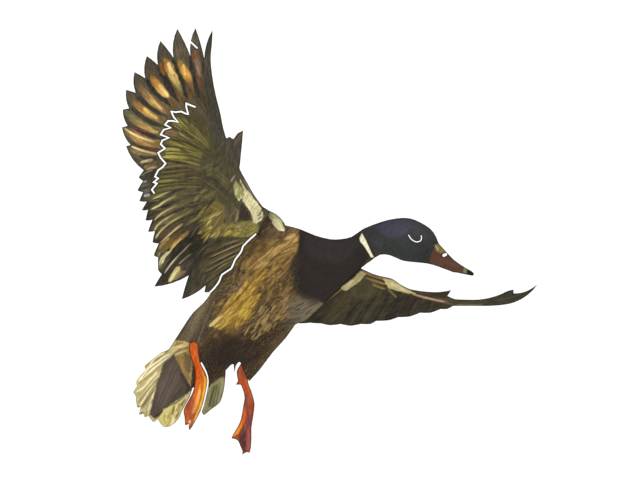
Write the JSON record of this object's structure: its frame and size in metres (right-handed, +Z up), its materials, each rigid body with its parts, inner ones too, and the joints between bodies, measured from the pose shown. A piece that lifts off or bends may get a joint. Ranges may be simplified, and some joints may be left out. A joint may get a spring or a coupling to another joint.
{
  "type": "motion wing decoy",
  "caption": "Flat cut-sheet drake decoy on a pole socket, with two hinged wing sheets flapped together by a small geared drive on its back.",
  "frame": {"origin": "centre of the pole socket's mouth", "axes": "+X towards the bill, +Z up the pole towards the raised wing, printed faces look along -Y"},
  "size_m": [0.6647, 0.0594, 0.6825],
  "materials": {
    "printed_body": "printed, satin",
    "printed_wing": "printed, satin",
    "printed_far_wing": "printed, satin",
    "printed_leg": "printed, satin",
    "olive_plastic": "moulded, fine grain",
    "black_plastic": "moulded, fine grain",
    "black_rubber": "matt",
    "red_rubber": "matt",
    "board_green": "solder mask",
    "nylon": "moulded",
    "brass": "turned",
    "cell_wrap": "plain wrap",
    "bright_sheet": "cut sheet",
    "dark_steel": "blackened",
    "zinc_steel": "zinc plated"
  },
  "bodies": {
    "frame": {"body_panel": "printed_body", "near_leg": "printed_leg", "far_leg": "printed_leg", "leg_studs": "zinc_steel", "leg_nuts": "zinc_steel", "near_body_leaf": "zinc_steel", "near_hinge_pin": "zinc_steel", "near_hinge_rivets": "zinc_steel", "far_body_leaf": "zinc_steel", "far_hinge_pin": "zinc_steel", "output_bushes": "brass", "idler_axle": "zinc_steel", "motor_can": "zinc_steel", "motor_end_cap": "black_plastic", "motor_screws": "zinc_steel", "gear_plate": "bright_sheet", "drive_housing": "olive_plastic", "drive_cover": "olive_plastic", "cover_gasket": "black_rubber", "cover_screws": "zinc_steel", "control_board": "board_green", "board_parts": "black_plastic", "battery_cells": "cell_wrap", "battery_tray": "black_plastic", "battery_contacts": "brass", "door_hinge_pin": "zinc_steel", "motor_leads": "red_rubber", "battery_leads": "black_rubber", "housing_studs": "zinc_steel", "housing_nuts": "zinc_steel", "pole_bracket": "black_plastic", "bracket_studs": "zinc_steel", "bracket_nuts": "zinc_steel"},
    "near_wing": {"near_wing_panel": "printed_wing", "near_wing_leaf": "zinc_steel", "near_wing_horn": "bright_sheet", "near_horn_bolts": "zinc_steel", "near_link_pin": "zinc_steel", "near_pin_clip": "dark_steel"},
    "far_wing": {"far_wing_panel": "printed_far_wing", "far_wing_leaf": "zinc_steel", "far_wing_horn": "bright_sheet", "far_horn_bolts": "zinc_steel", "far_link_pin": "zinc_steel", "far_pin_clip": "dark_steel"},
    "crank": {"output_shaft": "zinc_steel", "output_gear": "nylon", "crank_arm": "dark_steel", "crank_grub_screw": "dark_steel", "crank_link_pin": "zinc_steel", "crank_pin_clip": "dark_steel"},
    "link": {"drive_link": "bright_sheet"},
    "compound": {"compound_gear": "nylon"},
    "pinion": {"motor_pinion": "brass"},
    "door": {"battery_door": "olive_plastic"},
    "latch": {"door_latch": "black_plastic"},
    "button": {"power_button": "red_rubber"},
    "clamp_screw": {"thumb_screw": "black_plastic"}
  },
  "joints": [
    {"name": "near_wing_hinge", "type": "hinge", "parent": "frame", "child": "near_wing", "pos_m": [-0.0096, -0.01825, 0.1936], "axis": [0.4472, 0, 0.8944], "range_deg": [0, 50]},
    {"name": "far_wing_hinge", "type": "hinge", "parent": "frame", "child": "far_wing", "pos_m": [0.09326, -0.00875, 0.14217], "axis": [0.4472, 0, 0.8944], "range_deg": [0, 50]},
    {"name": "crank_turn", "type": "hinge", "parent": "frame", "child": "crank", "pos_m": [0.04943, 0.008, 0.16408], "axis": [0.4472, 0, 0.8944], "range_deg": [0, 50]},
    {"name": "link_pivot", "type": "hinge", "parent": "crank", "child": "link", "pos_m": [0.05081, 0.02995, 0.1634], "axis": [0.4472, 0, 0.8944], "range_deg": [-50, 0]},
    {"name": "compound_turn", "type": "hinge", "parent": "frame", "child": "compound", "pos_m": [0.03441, 0.008, 0.1716], "axis": [0.4472, 0, 0.8944], "range_deg": [-125, 0]},
    {"name": "pinion_turn", "type": "hinge", "parent": "frame", "child": "pinion", "pos_m": [0.02081, 0.008, 0.17839], "axis": [0.4472, 0, 0.8944], "range_deg": [0, 350]},
    {"name": "battery_door_hinge", "type": "hinge", "parent": "frame", "child": "door", "pos_m": [0.01947, 0.0276, 0.12316], "axis": [0.8944, 0, -0.4472], "range_deg": [0, 110]},
    {"name": "latch_turn", "type": "hinge", "parent": "door", "child": "latch", "pos_m": [-0.002, 0.0254, 0.08023], "axis": [0, 1, 0], "range_deg": [0, 90]},
    {"name": "power_button_press", "type": "slide", "parent": "frame", "child": "button", "axis": [0, -1, 0], "range_m": [0, 0.0015], "stiffness_N_per_m": 300},
    {"name": "thumb_screw_turn", "type": "hinge", "parent": "frame", "child": "clamp_screw", "pos_m": [0, 0.012, 0.022], "axis": [0, 1, 0], "range_deg": [-180, 180]}
  ],
  "couplings": [
    {"joint": "far_wing_hinge", "follows": "near_wing_hinge", "ratio": 1},
    {"joint": "crank_turn", "follows": "near_wing_hinge", "ratio": 1},
    {"joint": "link_pivot", "follows": "near_wing_hinge", "ratio": -1},
    {"joint": "compound_turn", "follows": "near_wing_hinge", "ratio": -2.5},
    {"joint": "pinion_turn", "follows": "near_wing_hinge", "ratio": 7}
  ]
}
